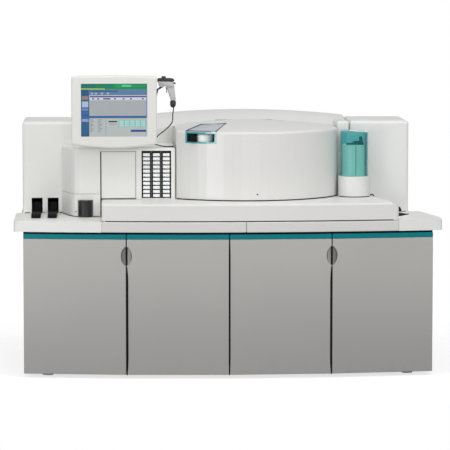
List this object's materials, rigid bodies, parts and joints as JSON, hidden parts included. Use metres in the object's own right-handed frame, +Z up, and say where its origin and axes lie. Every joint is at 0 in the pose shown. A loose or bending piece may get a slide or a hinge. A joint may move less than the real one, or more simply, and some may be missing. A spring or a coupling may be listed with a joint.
{
  "type": "chemistry_analyzer",
  "caption": "Floor-standing chemistry analyzer: bow-fronted cabinet with doors, worktop, drum-shaped lid, reagent magazine, turret, monitor and hand scanner on a cord",
  "frame": {"origin": "on the floor under the middle of the object's box", "axes": "+X right along the front, +Y towards the back, +Z up"},
  "size_m": [2.184, 1.18, 1.531],
  "materials": {
    "housing_plastic": "satin, fine grain",
    "door_paint": "satin, warm grey",
    "chassis_paint": "satin grey",
    "teal_plastic": "gloss teal",
    "clear_teal": "clear teal-tinted plastic",
    "clear_plastic": "clear",
    "white_plastic": "satin white",
    "dark_plastic": "matte black",
    "screen_glass": "display",
    "scanner_plastic": "light grey",
    "bare_steel": "brushed",
    "cord_rubber": "matte",
    "black_paint": "satin black"
  },
  "bodies": {
    "cabinet": {"base_plate": "chassis_paint", "side_panel_left": "door_paint", "side_panel_right": "door_paint", "rear_panel": "chassis_paint", "bay_divider": "chassis_paint", "top_plate": "black_paint", "fluid_tank": "white_plastic", "electronics_box": "bare_steel", "worktop": "housing_plastic", "fascia_right": "housing_plastic", "front_skirt": "housing_plastic", "left_tower": "housing_plastic", "right_tower": "housing_plastic", "lane_liner_left": "dark_plastic", "lane_liner_right": "dark_plastic", "hood": "housing_plastic", "lid_hinge_pin": "bare_steel", "wash_station": "white_plastic", "column_base": "housing_plastic", "magazine_housing": "housing_plastic", "turret_base": "white_plastic", "monitor_post": "housing_plastic", "cord_grommet": "cord_rubber", "block_cord": "cord_rubber"},
    "door_1": {"door_panel_1": "door_paint", "door_strip_1": "teal_plastic"},
    "door_2": {"door_panel_2": "door_paint", "door_strip_2": "teal_plastic"},
    "door_3": {"door_panel_3": "door_paint", "door_strip_3": "teal_plastic"},
    "door_4": {"door_panel_4": "door_paint", "door_strip_4": "teal_plastic"},
    "drawer": {"keyboard_drawer": "housing_plastic", "keyboard": "dark_plastic"},
    "rack_left": {"sample_rack_left": "dark_plastic"},
    "rack_right": {"sample_rack_right": "dark_plastic"},
    "lid": {"main_lid": "housing_plastic", "window_frame": "clear_teal", "window_glass": "clear_plastic", "window_contents": "white_plastic"},
    "carousel": {"reagent_carousel": "white_plastic"},
    "ring": {"reaction_ring": "dark_plastic"},
    "mast": {"probe_mast": "bare_steel"},
    "arm": {"probe_arm": "white_plastic"},
    "stat_port": {"stat_cover": "dark_plastic"},
    "access": {"access_door": "housing_plastic"},
    "magazine_left": {"cartridge_rack_left": "dark_plastic", "cartridges_left": "white_plastic"},
    "magazine_middle": {"cartridge_rack_middle": "dark_plastic", "cartridges_middle": "white_plastic"},
    "magazine_right": {"cartridge_rack_right": "dark_plastic", "cartridges_right": "white_plastic"},
    "turret": {"turret_cover": "clear_teal"},
    "swivel": {"monitor_arm": "housing_plastic", "scanner_holder": "dark_plastic", "scanner_cord": "cord_rubber"},
    "monitor": {"monitor_housing": "housing_plastic", "monitor_screen": "screen_glass"},
    "scanner": {"scanner_body": "scanner_plastic"},
    "trigger": {"scanner_trigger": "dark_plastic"}
  },
  "joints": [
    {"name": "door_1_hinge", "type": "hinge", "parent": "cabinet", "child": "door_1", "pos_m": [-1.044, -0.50847, 0.36], "axis": [0, 0, -1], "range_deg": [0, 110]},
    {"name": "door_2_hinge", "type": "hinge", "parent": "cabinet", "child": "door_2", "pos_m": [-0.00225, -0.6, 0.36], "axis": [0, 0, 1], "range_deg": [0, 90]},
    {"name": "door_3_hinge", "type": "hinge", "parent": "cabinet", "child": "door_3", "pos_m": [0.00225, -0.6, 0.36], "axis": [0, 0, -1], "range_deg": [0, 90]},
    {"name": "door_4_hinge", "type": "hinge", "parent": "cabinet", "child": "door_4", "pos_m": [1.044, -0.50847, 0.36], "axis": [0, 0, 1], "range_deg": [0, 110]},
    {"name": "drawer_slide", "type": "slide", "parent": "cabinet", "child": "drawer", "axis": [0, -1, 0], "range_m": [0, 0.3]},
    {"name": "rack_left_slide", "type": "slide", "parent": "cabinet", "child": "rack_left", "axis": [0, -1, 0], "range_m": [0, 0.2]},
    {"name": "rack_right_slide", "type": "slide", "parent": "cabinet", "child": "rack_right", "axis": [0, -1, 0], "range_m": [0, 0.2]},
    {"name": "lid_hinge", "type": "hinge", "parent": "cabinet", "child": "lid", "pos_m": [0.1051, 0.1035, 1.278], "axis": [-1, 0, 0], "range_deg": [0, 55]},
    {"name": "carousel_spin", "type": "hinge", "parent": "cabinet", "child": "carousel", "pos_m": [-0.0134, -0.115, 0.8603], "axis": [0, 0, 1], "continuous": true},
    {"name": "ring_spin", "type": "hinge", "parent": "cabinet", "child": "ring", "pos_m": [0.3366, -0.115, 0.8603], "axis": [0, 0, 1], "continuous": true},
    {"name": "probe_lift", "type": "slide", "parent": "cabinet", "child": "mast", "axis": [0, 0, 1], "range_m": [0, 0.04]},
    {"name": "probe_swing", "type": "hinge", "parent": "mast", "child": "arm", "pos_m": [0.1616, -0.265, 1.1], "axis": [0, 0, 1], "range_deg": [-75, 75]},
    {"name": "stat_port_turn", "type": "hinge", "parent": "cabinet", "child": "stat_port", "pos_m": [-0.729, -0.28, 0.8], "axis": [0, 0, 1], "range_deg": [0, 170]},
    {"name": "access_hinge", "type": "hinge", "parent": "cabinet", "child": "access", "pos_m": [-0.47, -0.28, 1.015], "axis": [0, 0, 1], "range_deg": [0, 100]},
    {"name": "magazine_left_slide", "type": "slide", "parent": "cabinet", "child": "magazine_left", "axis": [0, -1, 0], "range_m": [0, 0.12]},
    {"name": "magazine_middle_slide", "type": "slide", "parent": "cabinet", "child": "magazine_middle", "axis": [0, -1, 0], "range_m": [0, 0.12]},
    {"name": "magazine_right_slide", "type": "slide", "parent": "cabinet", "child": "magazine_right", "axis": [0, -1, 0], "range_m": [0, 0.12]},
    {"name": "turret_turn", "type": "hinge", "parent": "cabinet", "child": "turret", "pos_m": [0.6711, -0.137, 0.9995], "axis": [0, 0, 1], "range_deg": [0, 120]},
    {"name": "monitor_swivel", "type": "hinge", "parent": "cabinet", "child": "swivel", "pos_m": [-0.58, -0.17, 1.3], "axis": [0, 0, -1], "range_deg": [-15, 15]},
    {"name": "monitor_tilt", "type": "hinge", "parent": "swivel", "child": "monitor", "pos_m": [-0.58, -0.27, 1.342], "axis": [-1, 0, 0], "range_deg": [-5, 15]},
    {"name": "scanner_lift", "type": "slide", "parent": "swivel", "child": "scanner", "axis": [0, 0, 1], "range_m": [0, 0.08]},
    {"name": "trigger_press", "type": "slide", "parent": "scanner", "child": "trigger", "axis": [1, 0, 0], "range_m": [0, 0.006], "stiffness_N_per_m": 200}
  ]
}
